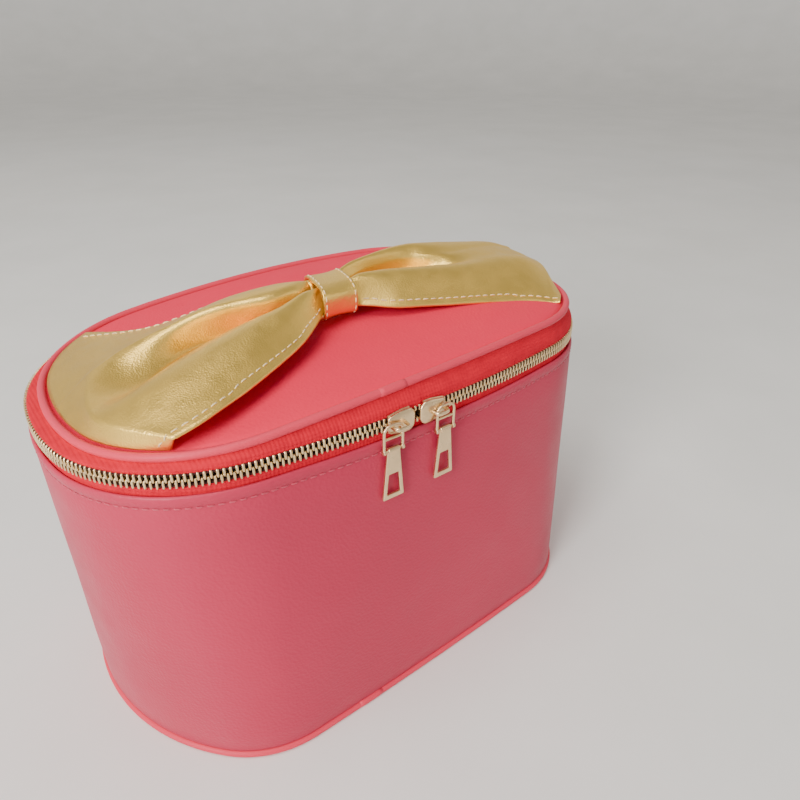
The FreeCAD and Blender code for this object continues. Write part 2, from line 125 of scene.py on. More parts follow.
# Guide lines of each wing from the knot to its rim, then the point where it is sewn in.
# In order: front edge, front ridge, hollow, lip over the hollow, back ridge, back edge.
LEFT_WING = (
    ((-11, -14, 159), (-20, -23, 159), (-33, -34, 158), (-47, -42, 156.8), (-60, -48.5, 155.8),
     (-72, -53.5, 154.8), (-84, -57, 153.2), (-94, -57.5, 151.2), (-97, -57, 145)),
    ((-11, -10, 167.5), (-20, -14, 169), (-34, -19, 167.2), (-50, -22.5, 165.3), (-66, -26, 162.6),
     (-81, -28.5, 159.2), (-96, -31, 154.6), (-108.5, -34, 150.4), (-112, -36, 143)),
    ((-11, -6.5, 160.5), (-20, -8, 156.5), (-33, -4, 153), (-48, 1, 151.4), (-62, 1, 150.2),
     (-77, -5, 148.8), (-94, -13.5, 147.9), (-109, -18, 150.3), (-117, -18, 142)),
    ((-11, -3, 166.5), (-20, -6.5, 168), (-32, -8, 167.6), (-46, -3, 166.2), (-60, 1.5, 163.4),
     (-74, 4, 159), (-90, 5, 154), (-103, 0, 151.2), (-118, -2, 141)),
    ((-11, 1, 167.2), (-20, 3, 168), (-32, 5, 167.2), (-45, 8, 165), (-58, 9.5, 161.6),
     (-71, 10.5, 158), (-84, 11.5, 154.4), (-97, 10, 151.2), (-117, 12, 141)),
    ((-11, 3, 161.5), (-20, 9, 161), (-32, 16, 159.5), (-46, 22.5, 157), (-58, 27, 153.8),
     (-68, 31, 151), (-77, 37, 149), (-84, 46, 147), (-87.5, 54, 144)),
)
RIGHT_WING = (
    ((4, -15, 158.5), (10, -20, 158.5), (19, -26, 157.5), (30, -29.5, 156.4), (42, -32.5, 155.2),
     (54, -35.5, 154), (66, -39, 152.9), (76, -43, 152.2), (84, -48, 151.8), (90, -53.5, 151.3),
     (93, -56.5, 150)),
    ((4, -10, 167.5), (12, -9.5, 169), (23, -11.5, 169), (38, -15.5, 168.2), (52, -18.5, 167),
     (65, -21, 165.8), (78, -23, 164.5), (90, -25, 163.2), (101, -27, 161.6), (109, -30, 158.2),
     (115, -32, 150)),
    ((4, -4, 160), (14, 2, 157), (26, 6, 156.5), (38, 6, 157), (48, 2, 158.5), (55, -4, 161.5),
     (64, -10, 165), (79, -13, 165.6), (97, -14, 163.6), (111, -16, 160), (118, -17, 150)),
    ((4, -1, 165.5), (14, 3, 165.2), (25, 5.5, 166), (37, 5.5, 167), (48, 3, 167.6), (57, -2, 167.8),
     (67, -5, 167.2), (82, -5, 166.2), (99, -4, 164.3), (112, -5, 160.6), (118.5, -5, 150)),
    ((4, 1.5, 167), (15, 6, 169), (27, 8, 170), (40, 9.5, 170.5), (53, 10, 170.3), (66, 9.5, 169.1),
     (79, 8.5, 167.3), (92, 8, 165.3), (103, 8, 163.2), (112, 8, 160), (118, 10, 149)),
    ((4, 4, 162), (16, 12, 161.3), (28, 19, 159.7), (40, 27, 157.8), (52, 33, 156.2), (62, 38, 155),
     (71, 43, 153.8), (79, 48, 152.7), (85, 52, 152), (89, 56, 151.3), (92, 58.5, 150)),
)
SEAM_INSET = 1.1           # the piping's edge to a wing's seam
SEAM_RISE = 1.15
RIM = 0.87                 # share of the way to the seam at which a wing turns down
LEFT_SHOULDER = 1.15       # 1 is a straight fall from rim to seam, more is rounder
RIGHT_SHOULDER = 1.9


# ---- ovals ----
def grown(oval, out):
    """The parallel oval, moved outwards by out."""
    length, width, side, end, corner = oval
    return (length + 2 * out, width + 2 * out, side + out, end + out, corner + out)


def oval_arcs(oval):
    """Tangent arcs, counter-clockwise from +X: (centre x, centre y, radius, start, sweep)."""
    length, width, side, end, corner = oval
    side_y = width / 2 - side
    end_x = length / 2 - end
    span = math.hypot(end_x, side_y)
    along = ((side - corner) ** 2 - (end - corner) ** 2 + span * span) / (2 * span)
    across = math.sqrt((side - corner) ** 2 - along * along)
    ux = end_x / span
    uy = -side_y / span
    cx = ux * along + uy * across
    cy = side_y + uy * along - ux * across
    if cy < 0:
        cx = ux * along - uy * across
        cy = side_y + uy * along + ux * across
    end_angle = math.atan2(cy, cx - end_x)
    side_angle = math.atan2(cy - side_y, cx)
    bend = side_angle - end_angle
    return [
        (end_x, 0.0, end, 0.0, end_angle),
        (cx, cy, corner, end_angle, bend),
        (0.0, side_y, side, side_angle, math.pi - 2 * side_angle),
        (-cx, cy, corner, math.pi - side_angle, bend),
        (-end_x, 0.0, end, math.pi - end_angle, 2 * end_angle),
        (-cx, -cy, corner, math.pi + end_angle, bend),
        (0.0, -side_y, side, math.pi + side_angle, math.pi - 2 * side_angle),
        (cx, -cy, corner, TURN - side_angle, bend),
        (end_x, 0.0, end, TURN - end_angle, end_angle),
    ]


def oval_point(oval, angle):
    """Point of the oval whose outward direction is at the angle."""
    angle = angle % TURN
    for cx, cy, radius, start, sweep in oval_arcs(oval):
        if angle <= start + sweep + 1e-9:
            break
    return cx + radius * math.cos(angle), cy + radius * math.sin(angle)


def oval_share(oval, share):
    """Outward angle at a share of the whole way round, from +X."""
    left = (share % 1.0) * oval_length(oval)
    for _, _, radius, start, sweep in oval_arcs(oval):
        if left <= radius * sweep:
            break
        left -= radius * sweep
    return start + left / radius


def oval_at(oval, angle, z):
    x, y = oval_point(oval, angle)
    return Vector((x, y, z))


def share_of(oval, angle):
    """Share of the whole way round at an outward angle: the reverse of oval_share."""
    angle = angle % TURN
    gone = 0.0
    for _, _, radius, start, sweep in oval_arcs(oval):
        if angle <= start + sweep:
            break
        gone += radius * sweep
    return (gone + radius * (angle - start)) / oval_length(oval)


def oval_side_y(oval, x):
    """The oval's back edge at an x within its side arc."""
    _, cy, radius, _, _ = oval_arcs(oval)[2]
    return cy + math.sqrt(radius ** 2 - x ** 2)


def oval_length(oval):
    return sum(arc[2] * arc[4] for arc in oval_arcs(oval))


def oval_walk(oval, step, first=0.0):
    """Outward angles at even distances round the oval, from +X."""
    count = int(oval_length(oval) // step)
    return [oval_share(oval, (i + first) / count) for i in range(count)]


# ---- heights ----
def chain_z(x):
    """The zip's centre line, level in the middle and lower at the case's ends."""
    share = max(0.0, (abs(x) - CHAIN_FLAT_X) / (CHAIN_FULL_X - CHAIN_FLAT_X))
    return CHAIN_Z - CHAIN_DIP * share ** 1.6


def lid_z(x, y):
    """Centre line of the lid piping, and the height that the lid's layers follow.

    The lid is crowned along its length, and its left end sits lower than its right.
    """
    along = x / LID_REACH[0]
    across = y / LID_REACH[1]
    return LID_Z + LID_RISE_ALONG * along + LID_RISE_ACROSS * across - LID_CROWN * along ** 2


def lid_dome(x, y, share):
    """Top of the lid's leather at a share of the way from the middle to the piping."""
    groove = math.exp(-((1.0 - share) / 0.022) ** 2)
    return lid_z(x, y) + 0.6 + 1.5 * (1.0 - share ** 2) - 0.9 * groove


def wobble(point, scale, height):
    """Smooth uneven height, as a soft skin has."""
    return noise.noise(Vector(point) / scale) * height


# ---- meshes ----
def mesh_object(name, points, faces, material):
    mesh = bpy.data.meshes.new(name)
    mesh.from_pydata([Vector(p) * MM for p in points], [], faces)
    mesh.validate()
    mesh.update()
    mesh.polygons.foreach_set("use_smooth", [True] * len(mesh.polygons))
    mesh.materials.append(material)
    obj = bpy.data.objects.new(name, mesh)
    bpy.context.scene.collection.objects.link(obj)
    return obj


def sweep(sections, closed=False):
    """Closed solid through loops of equal length: (points, faces)."""
    count = len(sections[0])
    points = [p for section in sections for p in section]
    faces = []
    last = len(sections) if closed else len(sections) - 1
    for i in range(last):
        a = i * count
        b = ((i + 1) % len(sections)) * count
        for j in range(count):
            k = (j + 1) % count
            faces.append((a + j, a + k, b + k, b + j))
    if not closed:
        faces.append(tuple(range(count))[::-1])
        end = (len(sections) - 1) * count
        faces.append(tuple(range(end, end + count)))
    return points, faces


def joined(parts):
    """Several (points, faces) as one."""
    points = []
    faces = []
    for more, tied in parts:
        start = len(points)
        points.extend(more)
        faces.extend(tuple(start + i for i in face) for face in tied)
    return points, faces


def solid(name, parts, material, body, node=None):
    """Piece of one or more closed shells, with its faces turned outwards.

    It rides on the body, and stands for the CAD node where one is given.
    """
    obj = mesh_object(name, *joined(parts), material)
    bpy.context.view_layer.objects.active = obj
    shape = bmesh.new()
    shape.from_mesh(obj.data)
    bmesh.ops.recalc_face_normals(shape, faces=shape.faces)
    shape.to_mesh(obj.data)
    shape.free()
    obj.data.update()
    if body:
        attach(obj, body)
    if node:
        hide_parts(node)
    return obj


def sharpen(obj, angle):
    """Smooth shading that keeps edges sharper than the angle."""
    obj.data.set_sharp_from_angle(angle=math.radians(angle))


def tube(path, radius, up, sides=10, closed=False, flat=1.0):
    """Round rod along a path. flat narrows it across the up direction."""
    path = [Vector(p) for p in path]
    last = len(path) - 1
    sections = []
    for i, here in enumerate(path):
        before = path[i - 1] if closed or i > 0 else here
        after = path[(i + 1) % len(path)] if closed or i < last else here
        ahead = (after - before).normalized()
        high = Vector(up)
        high = (high - ahead * high.dot(ahead)).normalized()
        wide = ahead.cross(high)
        size = radius(i / last) if callable(radius) else radius
        loop = []
        for j in range(sides):
            a = TURN * j / sides
            loop.append(here + high * (size * math.cos(a)) + wide * (size * flat * math.sin(a)))
        sections.append(loop)
    return sweep(sections, closed)


def rounded_end(share, ends=0.12):
    """Radius share of a rod with rounded ends."""
    near = min(share, 1.0 - share) / ends
    return 1.0 if near >= 1 else math.sqrt(max(0.0, 1.0 - (1.0 - near) ** 2)) * 0.8 + 0.2


def spline(points, share):
    """Catmull-Rom curve through points, at a share of its length in points."""
    last = len(points) - 1
    at = min(max(share, 0.0), 1.0) * last
    i = min(int(at), last - 1)
    t = at - i
    p1 = Vector(points[i])
    p2 = Vector(points[i + 1])
    p0 = Vector(points[i - 1]) if i > 0 else p1 * 2 - p2
    p3 = Vector(points[i + 2]) if i + 2 <= last else p2 * 2 - p1
    linear = (p2 - p0) * t
    square = (p0 * 2 - p1 * 5 + p2 * 4 - p3) * t * t
    cube = (p1 * 3 - p0 - p2 * 3 + p3) * t * t * t
    return p1 + (linear + square + cube) * 0.5


def smooth_step(share):
    share = min(max(share, 0.0), 1.0)
    return share * share * (3 - 2 * share)


def stitches(route, normal, length, gap, radius):
    """Rounded stitches that follow a route and dip in at both ends.

    route and normal give a point and an outward direction for a share from 0 to 1.
    """
    samples = 240
    distance = [0.0]
    line = [route(i / samples) for i in range(samples + 1)]
    for a, b in zip(line, line[1:]):
        distance.append(distance[-1] + (b - a).length)

    def share_at(d):
        for i in range(samples):
            if distance[i + 1] >= d:
                part = (d - distance[i]) / max(distance[i + 1] - distance[i], 1e-6)
                return (i + part) / samples
        return 1.0

    count = int(distance[-1] // (length + gap))
    pitch = distance[-1] / count
    made = []
    for i in range(count):
        start = i * pitch + gap / 2
        path = []
        for t in (0.0, 0.12, 0.35, 0.65, 0.88, 1.0):
            share = share_at(start + t * (pitch - gap))
            lift = radius * (0.75 - 1.5 * (2 * t - 1) ** 4)
            path.append(route(share) + normal(share) * lift)
        up = normal(share_at(start + pitch / 2))
        made.append(tube(path, lambda s: radius * rounded_end(s, 0.2), up, 6))
    return made


# ---- materials ----
class Nodes:
    """A material's node tree, with the shader and object coordinates ready."""

    def __init__(self, name, colour, rough, metallic=0.0):
        self.material = bpy.data.materials.new(name)
        self.material.use_nodes = True
        self.tree = self.material.node_tree
        self.shader = self.tree.nodes["Principled BSDF"]
        self.shader.inputs["Base Color"].default_value = (*colour, 1)
        self.shader.inputs["Roughness"].default_value = rough
        self.shader.inputs["Metallic"].default_value = metallic
        self.place = self.add("TexCoord").outputs["Object"]
        self.height = None

    def link(self, a, b):
        self.tree.links.new(a, b)

    def add(self, kind, **values):
        """New node with its inputs set. From_Min stands for the input From Min."""
        made = self.tree.nodes.new("ShaderNode" + kind)
        for name, value in values.items():
            made.inputs[name.replace("_", " ")].default_value = value
        return made

    def pattern(self, made, output):
        """A texture node's output, laid over the object's own coordinates."""
        self.link(self.place, made.inputs["Vector"])
        return made.outputs[output]

    def noise(self, scale, detail=3.0, rough=0.55):
        made = self.add("TexNoise", Scale=scale, Detail=detail, Roughness=rough)
        return self.pattern(made, "Fac")

    def cells(self, scale):
        return self.pattern(self.add("TexVoronoi", Scale=scale), "Distance")

    def waves(self, scale, direction, distort):
        made = self.add("TexWave", Scale=scale, Distortion=distort)
        made.bands_direction = direction
        return self.pattern(made, "Fac")

    def mapped(self, value, low, high, from_low=0.25, from_high=0.75):
        made = self.add("MapRange", From_Min=from_low, From_Max=from_high, To_Min=low, To_Max=high)
        self.link(value, made.inputs["Value"])
        return made.outputs["Result"]

    def blend(self, value, dark, light):
        """Colour between two, by a value from 0 to 1."""
        made = self.add("ValToRGB")
        made.color_ramp.elements[0].position = 0.3
        made.color_ramp.elements[1].position = 0.7
        made.color_ramp.elements[0].color = (*dark, 1)
        made.color_ramp.elements[1].color = (*light, 1)
        self.link(value, made.inputs["Fac"])
        self.link(made.outputs["Color"], self.shader.inputs["Base Color"])

    def rough(self, value, low, high):
        self.link(self.mapped(value, low, high), self.shader.inputs["Roughness"])

    def bump(self, value, strength, distance):
        """Each bump adds to the one before."""
        made = self.add("Bump", Strength=strength, Distance=distance)
        self.link(value, made.inputs["Height"])
        if self.height is not None:
            self.link(self.height, made.inputs["Normal"])
        self.height = made.outputs["Normal"]
        self.link(self.height, self.shader.inputs["Normal"])


def shade(colour, factor):
    return tuple(min(1.0, c * factor) for c in colour)


def leather(name, colour, rough, grain, depth, shine=0.26):
    """Coated leather: pebble grain, finer pores, soft dents and slow colour change."""
    made = Nodes(name, colour, rough)
    made.blend(made.noise(9.0, 4.0), shade(colour, 0.93), shade(colour, 1.06))
    made.rough(made.noise(55.0, 4.0), rough - 0.05, rough + 0.07)
    made.bump(made.noise(30.0, 2.0), 0.25, 0.0012)
    made.bump(made.cells(grain), 0.5, depth)
    made.bump(made.noise(grain * 1.7, 2.0), 0.3, depth)
    made.shader.inputs["Specular IOR Level"].default_value = shine
    return made.material


def gold_leather():
    """Metallic foil over leather: fine grain that breaks up its sheen."""
    colour = (0.95, 0.63, 0.14)
    made = Nodes("gold_leather_skin", colour, 0.34, 0.96)
    made.blend(made.noise(14.0, 5.0), shade(colour, 0.93), shade(colour, 1.06))
    made.rough(made.noise(180.0, 4.0), 0.30, 0.44)
    made.bump(made.noise(70.0, 3.0), 0.18, 0.0006)
    made.bump(made.cells(1400.0), 0.45, 0.0002)
    made.bump(made.noise(3200.0, 2.0), 0.3, 0.0001)
    return made.material


def metal(name, colour, rough):
    """Plated zinc: faint pits, brushed haze and duller patches from handling."""
    made = Nodes(name, colour, rough, 1.0)
    made.blend(made.noise(160.0, 4.0), shade(colour, 0.9), shade(colour, 1.05))
    made.rough(made.noise(420.0, 4.0), rough - 0.07, rough + 0.1)
    made.bump(made.noise(900.0, 3.0), 0.12, 0.00012)
    return made.material


def woven(name, colour, pitch, depth, sheen):
    """Woven cloth: warp and weft at the given threads per metre."""
    made = Nodes(name, colour, 0.82)
    made.blend(made.noise(220.0, 5.0), shade(colour, 0.90), shade(colour, 1.08))
    made.bump(made.waves(pitch / TURN, "Z", 0.3), 0.5, depth)
    made.bump(made.waves(pitch / TURN, "X", 0.3), 0.4, depth)
    made.bump(made.noise(1600.0, 2.0), 0.3, depth)
    made.shader.inputs["Specular IOR Level"].default_value = 0.2
    made.shader.inputs["Sheen Weight"].default_value = sheen
    made.shader.inputs["Sheen Roughness"].default_value = 0.4
    return made.material


def thread(name, colour):
    """Twisted sewing thread."""
    made = Nodes(name, colour, 0.6)
    made.blend(made.noise(500.0, 3.0), shade(colour, 0.85), shade(colour, 1.08))
    made.bump(made.noise(5000.0, 2.0), 0.4, 0.0001)
    made.shader.inputs["Sheen Weight"].default_value = 0.3
    return made.material


def paperboard():
    colour = (0.46, 0.42, 0.36)
    made = Nodes("paperboard", colour, 0.85)
    made.blend(made.noise(260.0, 6.0), shade(colour, 0.85), shade(colour, 1.1))
    made.bump(made.noise(900.0, 4.0), 0.4, 0.0002)
    return made.material


ROSE = leather("rose_leather_skin", (0.50, 0.030, 0.074), 0.40, 760.0, 0.0002)
# The lid's top is the wall's rose leather, its colour painted lighter: painted light where the top
# faces the lamps above.
ROSE_LID_PAINTED_LIGHT = leather("rose_lid_skin_painted_light", (0.82, 0.024, 0.072), 0.58, 760.0, 0.0002, 0.12)
ROSE_WELT = leather("rose_welt_skin", (0.72, 0.042, 0.085), 0.46, 1300.0, 0.0001)
GOLD = gold_leather()
PLATED = metal("champagne_metal", (0.84, 0.62, 0.36), 0.30)
BRASS = metal("tooth_metal", (0.80, 0.60, 0.34), 0.32)
TAPE_RED = woven("tape_cloth", (0.64, 0.005, 0.026), 1400.0, 0.0002, 0.02)
# The zip's cord is the tape's red cloth, here painted near black: painted shade between the teeth.
BEAD_PAINTED_SHADE = woven("bead_cloth_painted_shade", (0.045, 0.012, 0.010), 1400.0, 0.0002, 0.0)
LINING_CLOTH = woven("lining_cloth", (0.34, 0.035, 0.055), 1700.0, 0.00012, 0.3)
CREAM_THREAD = thread("cream_thread", (0.86, 0.68, 0.38))
ROSE_THREAD = thread("rose_thread", (0.52, 0.034, 0.080))
BOARD = paperboard()


# ---- wall, base and linings ----
WALL_BASE = grown(BASE_OVAL, LEATHER / 2)
WALL_TOP = grown(CHAIN_OVAL, TAPE / 2 + LAYER_GAP + LEATHER)
WALL_ANGLES = oval_walk(CHAIN_OVAL, 2.0)


def wall_top_z(x):
    return chain_z(x) - (CHAIN_Z - WALL_TOP_Z)


def wall_point(angle, z, out):
    """Point at a height and a distance out from the wall's face."""
    share = (z - WALL_BASE_Z) / (WALL_TOP_Z - WALL_BASE_Z)
    x0, y0 = oval_point(grown(WALL_BASE, out), angle)
    x1, y1 = oval_point(grown(WALL_TOP, out), angle)
    return Vector((x0 + (x1 - x0) * share, y0 + (y1 - y0) * share, z))


def wall_section(angle, thick, low, hem):
    """Loop up the outside, over the folded top edge and down the inside."""
    x, _ = oval_point(CHAIN_OVAL, angle)
    top = wall_top_z(x)
    loop = [(low + 0.1, -0.75), (low + 0.5, -0.3), (low + 1.4, -0.02)]
    for share in (0.08, 0.2, 0.35, 0.5, 0.65, 0.8, 0.9):
        loop.append((low + (top - 6.0 - low) * share, 0.0))
    if hem:
        loop += [(top - 5.2, 0.0), (top - 4.7, -0.22), (top - 4.3, -0.22), (top - 3.8, 0.12)]
        loop += [(top - 2.0, 0.3), (top - 0.9, 0.22)]
    loop += [(top - 0.35, -0.02), (top - 0.05, -0.3), (top, -thick / 2)]
    loop += [(top - 0.1, 0.2 - thick), (top - 0.5, -thick), (top - 8.0, -thick), (low, -thick)]
    section = []
    for z, out in loop:
        soft = 0.0
        if out > -0.1:
            spread = math.sin(math.pi * min(max((z - low) / (top - low), 0.0), 1.0))
            soft = wobble((angle * 90, z, 0), 46.0, 0.45) * spread
        section.append(wall_point(angle, z, out + soft))
    return section


def body_wall():
    sections = [wall_section(a, LEATHER, WALL_BASE_Z, True) for a in WALL_ANGLES]
    obj = solid("case_wall", [sweep(sections, True)], ROSE, "case", "body_wall")
    hem_stitches()


def hem_stitches():
    """Tone-on-tone stitch line along the wall's folded top edge."""
    def route(share):
        angle = share * TURN
        x, _ = oval_point(CHAIN_OVAL, angle)
        return wall_point(angle, wall_top_z(x) - HEM_DEPTH, -0.2)

    def even(share):
        i = share * len(WALL_ANGLES)
        low = int(i) % len(WALL_ANGLES)
        first = WALL_ANGLES[low]
        after = WALL_ANGLES[(low + 1) % len(WALL_ANGLES)]
        after = after if after > first else after + TURN
        return (first + (after - first) * (i - int(i))) / TURN

    def outwards(share):
        angle = even(share) * TURN
        return Vector((math.cos(angle), math.sin(angle), 0))

    made = stitches(lambda s: route(even(s)), outwards, 2.6, 0.9, 0.27)
    solid("case_hem_stitches", made, ROSE_THREAD, "case")


def lining_tube():
    """Cloth lining inside the stiffener, with a plain folded top edge."""
    inset = STIFFENER + LEATHER + 2 * LAYER_GAP
    sections = []
    for angle in WALL_ANGLES:
        x, _ = oval_point(CHAIN_OVAL, angle)
        top = min(LINING_TOP_Z, wall_top_z(x) - 0.6)
        loop = [(WALL_BASE_Z, 0.0), (40.0, 0.0), (80.0, 0.0), (top - 1.5, 0.0), (top - 0.3, -0.05)]
        loop += [(top, -0.35), (top - 0.3, -0.65), (top - 1.5, -LINING), (110.0, -LINING)]
        loop += [(95.0, -LINING), (80.0, -LINING), (60.0, -LINING), (40.0, -LINING)]
        loop += [(20.0, -LINING), (WALL_BASE_Z, -LINING)]
        section = []
        for z, out in loop:
            inside = out <= -LINING
            soft = abs(wobble((angle * 70, z, 5), 22.0, 1.0)) if inside and z > WALL_BASE_Z else 0.0
            section.append(wall_point(angle, z, out - inset - soft))
        sections.append(section)
    obj = solid("case_lining", [sweep(sections, True)], LINING_CLOTH, "case", "wall_lining")


def disc(oval, top, under, rings=12, step=4.0):
    """Closed sheet over an oval: top and under give heights for (x, y, share)."""
    angles = oval_walk(oval, step)
    loops = []
    shares = [(i / rings) ** 0.75 for i in range(1, rings)] + [0.975, 1.0]
    for height, order in ((top, shares), (under, shares[::-1])):
        for share in order:
            loop = []
            for angle in angles:
                x, y = oval_point(oval, angle)
                loop.append(Vector((x * share, y * share, height(x * share, y * share, share))))
            loops.append(loop)
    return sweep(loops)


def base_pieces():
    """Flat leather underneath, its edge turned up to the piping, and the floor lining."""
    oval = grown(BASE_OVAL, -PIPING_R - LAYER_GAP)

    def under(x, y, share):
        return 0.5 * max(0.0, (share - 0.97) / 0.03) ** 2

    skin = disc(oval, lambda x, y, s: LEATHER, under)
    panel = solid("base_leather", [skin], ROSE, "case", "base_panel")

    ease = 0.9
    inset = STIFFENER + LEATHER + LINING + 4 * LAYER_GAP + ease
    floor = grown(WALL_BASE, -inset)

    def top(x, y, share):
        return WALL_BASE_Z + LINING + abs(wobble((x, y, 0), 24.0, 0.7)) * (1 - share ** 6)

    skin = disc(floor, top, lambda x, y, s: WALL_BASE_Z)
    cloth = solid("floor_lining", [skin], LINING_CLOTH, "case", "base_lining")


def welt(name, oval, height, body, node, joint_x):
    """Covered cord round an oval, with its ends lapped at one place."""
    path = []
    for angle in oval_walk(oval, 2.0):
        x, y = oval_point(oval, angle)
        path.append(Vector((x, y, height(x, y))))
    count = len(path)

    def radius(share):
        i = int(share * (count - 1))
        return PIPING_R * (1.0 + wobble(path[i], 9.0, 0.035))

    cord = tube(path, radius, (0, 0, 1), 14, True)
    near = [p for p in path if p.y < 0 and abs(p.x - joint_x) < 7.0]
    near.sort(key=lambda p: p.x)
    lap = tube(near, lambda s: PIPING_R * (0.98 + 0.11 * rounded_end(s, 0.3)), (0, 0, 1), 14)
    obj = solid(name, [cord, lap], ROSE_WELT, body, node)


# ---- zip ----
def front_and_sides(step, first=0.0):
    """Chain angles that leave out the hinge at the back, in order round the case."""
    angles = []
    for angle in oval_walk(CHAIN_OVAL, step, first):
        x, y = oval_point(CHAIN_OVAL, angle)
        if y < 0 or abs(x) > HINGE_HALF:
            angles.append(angle if angle > math.pi / 2 else angle + TURN)
    return sorted(angles)


def beside_hinge(oval):
    """Outward angle of an oval where the hinge strip's left edge meets it."""
    return math.pi - math.acos(HINGE_HALF / oval_arcs(oval)[2][2])


def tape_angles():
    """Chain angles for a tape's ribs, from one edge of the hinge strip to the other."""
    edge = beside_hinge(CHAIN_OVAL)
    return [edge] + front_and_sides(RIB_PITCH / 2) + [math.pi - edge + TURN]


def lid_angle_beside(angle):
    """Angle of the lid's oval at the same share of the way from hinge to hinge."""
    chain_hinge = share_of(CHAIN_OVAL, beside_hinge(CHAIN_OVAL)) - 0.25
    lid_hinge = share_of(LID_OVAL, beside_hinge(LID_OVAL)) - 0.25
    gone = (share_of(CHAIN_OVAL, angle) - 0.25) % 1.0
    part = (gone - chain_hinge) / (1.0 - 2 * chain_hinge)
    return oval_share(LID_OVAL, 0.25 + lid_hinge + part * (1.0 - 2 * lid_hinge))


def lower_tape():
    sections = []
    for i, angle in enumerate(tape_angles()):
        x, _ = oval_point(CHAIN_OVAL, angle)
        top = chain_z(x) - TOOTH_ROOT + 0.6
        rib = RIB_HEIGHT * (i % 2)
        section = []
        for z, out in ((TAPE_BOTTOM_Z, 0), (128.0, 0), (top - 1.2, 1), (top, 1)):
            section.append(oval_at(grown(CHAIN_OVAL, TAPE / 2 - 0.1 + rib * out), angle, z))
        for z in (top, TAPE_BOTTOM_Z):
            section.append(oval_at(grown(CHAIN_OVAL, -TAPE / 2), angle, z))
        sections.append(section)
    obj = solid("zip_tape_low", [sweep(sections)], TAPE_RED, "case", "zip_tape_lower")
    sharpen(obj, 60)


def tape_high_point(angle, share, out):
    """Upper tape: upright beside the teeth, then leaning in to the lid piping."""
    x, y = oval_point(grown(CHAIN_OVAL, out), angle)
    lx, ly = oval_point(grown(LID_OVAL, out), lid_angle_beside(angle))
    low = chain_z(x) + TOOTH_ROOT - 0.6
    high = lid_z(lx, ly) - PIPING_R * 0.6
    rise = (high - low) * share
    straight = min(TAPE_UPRIGHT, 0.45 * (high - low))
    lean = smooth_step((rise - straight) / (high - low - straight))
    return Vector((x + (lx - x) * lean, y + (ly - y) * lean, low + rise))


def upper_tape():
    shares = (0.0, 0.15, 0.3, 0.42, 0.54, 0.66, 0.78, 0.9, 1.0)
    sections = []
    for i, angle in enumerate(tape_angles()):
        rib = RIB_HEIGHT * (i % 2)
        face = [tape_high_point(angle, s, TAPE / 2 - 0.1 + rib) for s in shares]
        back = [tape_high_point(angle, s, -TAPE / 2) for s in shares[::-1]]
        sections.append(face + back)
    obj = solid("zip_tape_high", [sweep(sections)], TAPE_RED, "lid", "zip_tape_upper")
    sharpen(obj, 60)


def tooth(angle, low, high, flip):
    """Tapered tooth: broad clamp at its root, narrow rounded head."""
    x, y = oval_point(CHAIN_OVAL, angle)
    out = Vector((math.cos(angle), math.sin(angle), 0))
    along = Vector((-math.sin(angle), math.cos(angle), 0))
    here = Vector((x, y, 0))
    rings = ((0.0, 0.72), (0.1, 0.95), (0.35, 1.0), (0.72, 1.0), (0.9, 0.86), (1.0, 0.5))
    sections = []
    for share, size in rings:
        z = high - (high - low) * share if flip else low + (high - low) * share
        half = TOOTH_DEPTH / 2 * size
        thick = TOOTH_THICK / 2 * size
        cut = 0.22 * size
        loop = [(half, thick - cut), (half - cut, thick), (cut - half, thick), (-half, thick - cut)]
        loop += [(-a, -b) for a, b in loop]
        sections.append([here + out * a + along * b + Vector((0, 0, z)) for a, b in loop])
    return sweep(sections)


def teeth(first, upper):
    """One row, parted between the two sliders' posts."""
    row = []
    gap_middle = (SLIDER_CENTRES["left"] + SLIDER_CENTRES["right"]) / 2
    for angle in front_and_sides(TOOTH_PITCH, first):
        x, y = oval_point(CHAIN_OVAL, angle)
        z = chain_z(x)
        if abs(x) < HINGE_HALF + 2.5 and y > 0:
            continue
        parted = y < 0 and abs(x - gap_middle) < PARTED_HALF
        head = TOOTH_REACH - (PARTED_HEAD if parted else 0.0)
        root = TOOTH_ROOT + (PARTED_ROOT if parted else 0.0)
        if upper:
            row.append(tooth(angle, z - head, z + root, True))
        else:
            row.append(tooth(angle, z - root, z + head, False))
    return row


def zip_rows():
    for name, first, side, body in (("low", 0.25, -1, "case"), ("high", 0.75, 1, "lid")):
        node = "zip_teeth_upper" if side > 0 else "zip_teeth_lower"
        row = solid("zip_row_" + name, teeth(first, side > 0), BRASS, body, node)
        sharpen(row, 35)
        path = []
        for angle in front_and_sides(3.0):
            x, y = oval_point(CHAIN_OVAL, angle)
            path.append((x, y, chain_z(x) + side * (TOOTH_ROOT - 0.75)))
        # The cord runs between the teeth in near-black cloth, painted shade where the teeth shadow
        # it.
        bead = tube(path, BEAD_R, (0, 0, 1), 8, False, 1.5)
        solid("zip_bead_" + name, [bead], BEAD_PAINTED_SHADE, body)


def hinge():
    """Leather strip that joins wall and lid along the back."""
    outer_chain = grown(CHAIN_OVAL, TAPE / 2)
    outer_lid = grown(LID_OVAL, TAPE / 2)
    low = TAPE_BOTTOM_Z
    lean_from = CHAIN_Z + TOOTH_ROOT - 0.7
    count = 54
    rows = 24
    sections = []
    for i in range(count + 1):
        x = (HINGE_HALF - LAYER_GAP) * (1 - 2 * i / count)
        y0 = oval_side_y(outer_chain, x)
        y1 = oval_side_y(outer_lid, x)
        high = lid_z(x, y1) - PIPING_R * 0.8
        outer = []
        for j in range(rows + 1):
            z = low + (high - low) * j / rows
            lean = smooth_step((z - lean_from) / (high - lean_from))
            soft = wobble((x, 0, z), 12.0, 0.25)
            outer.append(Vector((x, y0 + (y1 - y0) * lean + soft, z)))
        inner = [p + Vector((0, -TAPE, 0)) for p in outer[::-1]]
        sections.append(outer + inner)
    obj = solid("hinge_leather", [sweep(sections)], ROSE, None, "hinge_strip")
    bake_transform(obj)


